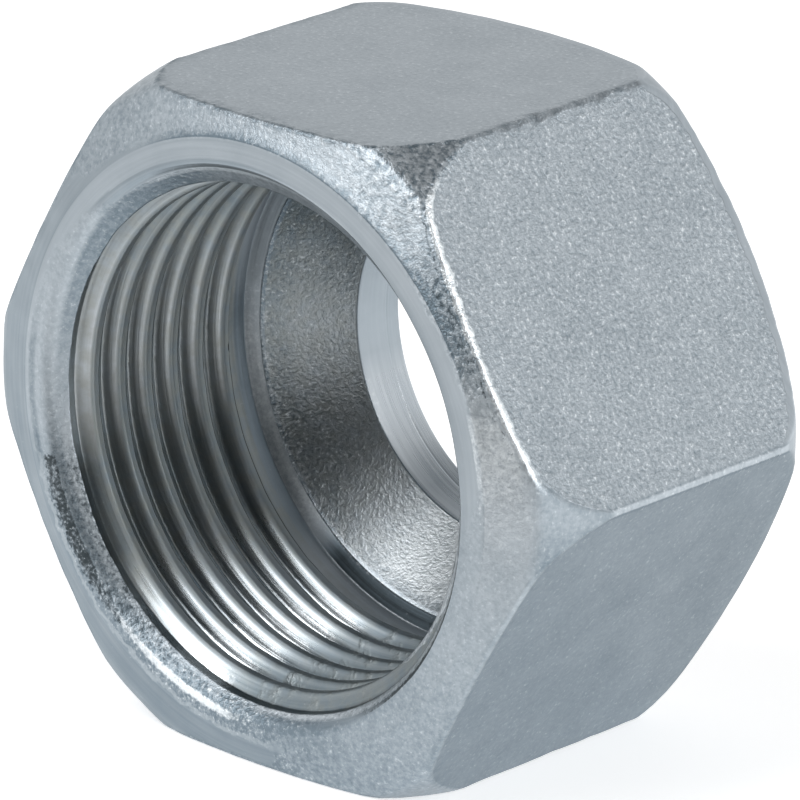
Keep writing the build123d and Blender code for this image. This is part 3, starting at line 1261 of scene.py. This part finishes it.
def soft_room(look):
    """A room that is pale at table level, dim overhead and dark in one corner."""
    room = Finish(bpy.data.worlds.new("room"))
    towards = room.node("ShaderNodeTexCoord", output="Generated")
    height = room.node("ShaderNodeSeparateXYZ", None, {0: towards}, output=2)
    walls = room.step(height, 0.35, 0.85, look.horizon, look.ceiling)
    corner = room.step(room.alike(towards, direction(*DARK_CORNER)), 0.82, 0.95)
    return room.glow(walls * (1 - corner))


def place_mesh(name, corners, faces):
    """A new object from corners and faces."""
    mesh = bpy.data.meshes.new(name)
    mesh.from_pydata(corners.tolist(), [], faces.tolist())
    mesh.update()
    item = bpy.data.objects.new(name, mesh)
    bpy.context.scene.collection.objects.link(item)
    return item


def place_item(name, data, location, turned):
    """A new light or camera, turned as it should look."""
    item = bpy.data.objects.new(name, data)
    bpy.context.scene.collection.objects.link(item)
    item.location = location
    item.rotation_mode = "QUATERNION"
    item.rotation_quaternion = turned
    return item


def place_sheet(name, corners):
    """A flat sheet with four corners."""
    return place_mesh(name, np.array(corners, float), np.array([(0, 1, 2, 3)]))


def soft_box(name, place, brightness):
    """A rectangular soft light that faces the nut."""
    azimuth, elevation, width, height = place
    towards = direction(azimuth, elevation)
    light = bpy.data.lights.new(name, "AREA")
    light.shape = "RECTANGLE"
    light.size = width
    light.size_y = height
    light.energy = brightness * width * height * math.pi
    location = towards * LIGHT_DISTANCE + Vector((0, 0, AXIS_HEIGHT))
    item = place_item(name, light, location, towards.to_track_quat("Z", "Y"))
    item.visible_camera = False


class OBJECT_OT_union_nut(bpy.types.Operator):
    """Makes the nut with its thread, forged skin and turned faces"""

    bl_idname = "object.union_nut_make"
    bl_label = "Make the union nut"

    def execute(self, context):
        profile = Profile(context.scene.nut_shape)
        corners, triangles, facts = nut_surface(profile)
        nut = place_mesh("nut_body", corners, triangles)
        mesh = nut.data
        mesh.materials.append(zinc_plating(context.scene.nut_finish))
        # Some of these numbers paint light into the colour: shade and light in the dullness, shade
        # among the dark grains, and highlights along edges and lines.
        for name, numbers in (
            ("skin", skin_distance(facts)),
            ("grit", grit_strength(facts)),
            ("mottle", mottle_strength(facts)),
            ("polish", polish(facts)),
            ("dull_and_painted_light", dull_and_painted_light(facts)),
            ("painted_highlight", painted_highlight(facts)),
            ("rim", rim_nearness(facts, profile)),
            ("warmth", warmth(facts)),
            ("burr_highlight", burr_highlight(facts)),
            ("soot_and_shade", soot_and_shade(facts, profile)),
        ):
            layer = mesh.attributes.new(name, "FLOAT", "POINT")
            layer.data.foreach_set("value", numbers.astype(np.float32))
        mesh.polygons.foreach_set("use_smooth", np.ones(len(mesh.polygons), bool))
        mesh.normals_split_custom_set_from_vertices(soft_normals(corners, triangles))
        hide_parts(NODE)
        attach(nut, BODY)
        return {"FINISHED"}


class OBJECT_OT_nut_studio(bpy.types.Operator):
    """Makes the table, the soft lights and the camera"""

    bl_idname = "object.nut_studio_make"
    bl_label = "Make the studio"

    def execute(self, context):
        look = context.scene.nut_studio
        h = TABLE_REACH
        table = place_sheet("table_top", [(-h, -h, 0), (h, -h, 0), (h, h, 0), (-h, h, 0)])
        table.data.materials.append(table_top(look))
        soft_box("key_light", KEY_LIGHT, look.key_light)
        soft_box("side_light", SIDE_LIGHT, look.side_light)
        corners = [
            (CARD_LEFT, CARD_PLACE, CARD_BOTTOM),
            (CARD_RIGHT, CARD_PLACE, CARD_BOTTOM),
            (CARD_RIGHT, CARD_PLACE, CARD_TOP),
            (CARD_LEFT, CARD_PLACE, CARD_TOP),
        ]
        card = place_sheet("black_card", corners)
        card.data.materials.append(black_card())
        card.visible_camera = False
        context.scene.world = soft_room(look)
        self.place_camera(context.scene)
        context.scene.view_settings.view_transform = "Standard"
        return {"FINISHED"}

    @staticmethod
    def place_camera(scene):
        """A long lens, a little above the nut and to the right of its mouth."""
        back = direction(CAMERA_AZIMUTH, CAMERA_ELEVATION)
        turned = back.to_track_quat("Z", "Y")
        aim = Vector((0, 0, AXIS_HEIGHT)) + turned @ Vector(CAMERA_AIM)
        camera = bpy.data.cameras.new("camera")
        camera.lens = CAMERA_LENS
        camera.sensor_width = CAMERA_SENSOR
        camera.clip_start = 0.01
        camera.clip_end = 20.0
        scene.camera = place_item("camera", camera, aim + back * CAMERA_DISTANCE, turned)


class VIEW3D_PT_union_nut(bpy.types.Panel):
    """Sizes, colours and buttons of the nut"""

    bl_label = "Union nut"
    bl_idname = "VIEW3D_PT_union_nut"
    bl_space_type = "VIEW_3D"
    bl_region_type = "UI"
    bl_category = "Union nut"

    def draw(self, context):
        scene = context.scene
        for title, group, operator in (
            ("Nut", scene.nut_shape, OBJECT_OT_union_nut),
            ("Finish", scene.nut_finish, None),
            ("Studio", scene.nut_studio, OBJECT_OT_nut_studio),
        ):
            box = self.layout.box()
            box.label(text=title)
            for name in group.__annotations__:
                box.prop(group, name)
            if operator:
                box.operator(operator.bl_idname)


CLASSES = (
    NutShape,
    NutFinish,
    StudioLook,
    OBJECT_OT_union_nut,
    OBJECT_OT_nut_studio,
    VIEW3D_PT_union_nut,
)


def register():
    for item in CLASSES:
        bpy.utils.register_class(item)
    bpy.types.Scene.nut_shape = PointerProperty(type=NutShape)
    bpy.types.Scene.nut_finish = PointerProperty(type=NutFinish)
    bpy.types.Scene.nut_studio = PointerProperty(type=StudioLook)


def unregister():
    del bpy.types.Scene.nut_studio
    del bpy.types.Scene.nut_finish
    del bpy.types.Scene.nut_shape
    for item in reversed(CLASSES):
        bpy.utils.unregister_class(item)


def main():
    register()
    bpy.ops.object.union_nut_make()
    bpy.ops.object.nut_studio_make()


if __name__ == "__main__":
    main()
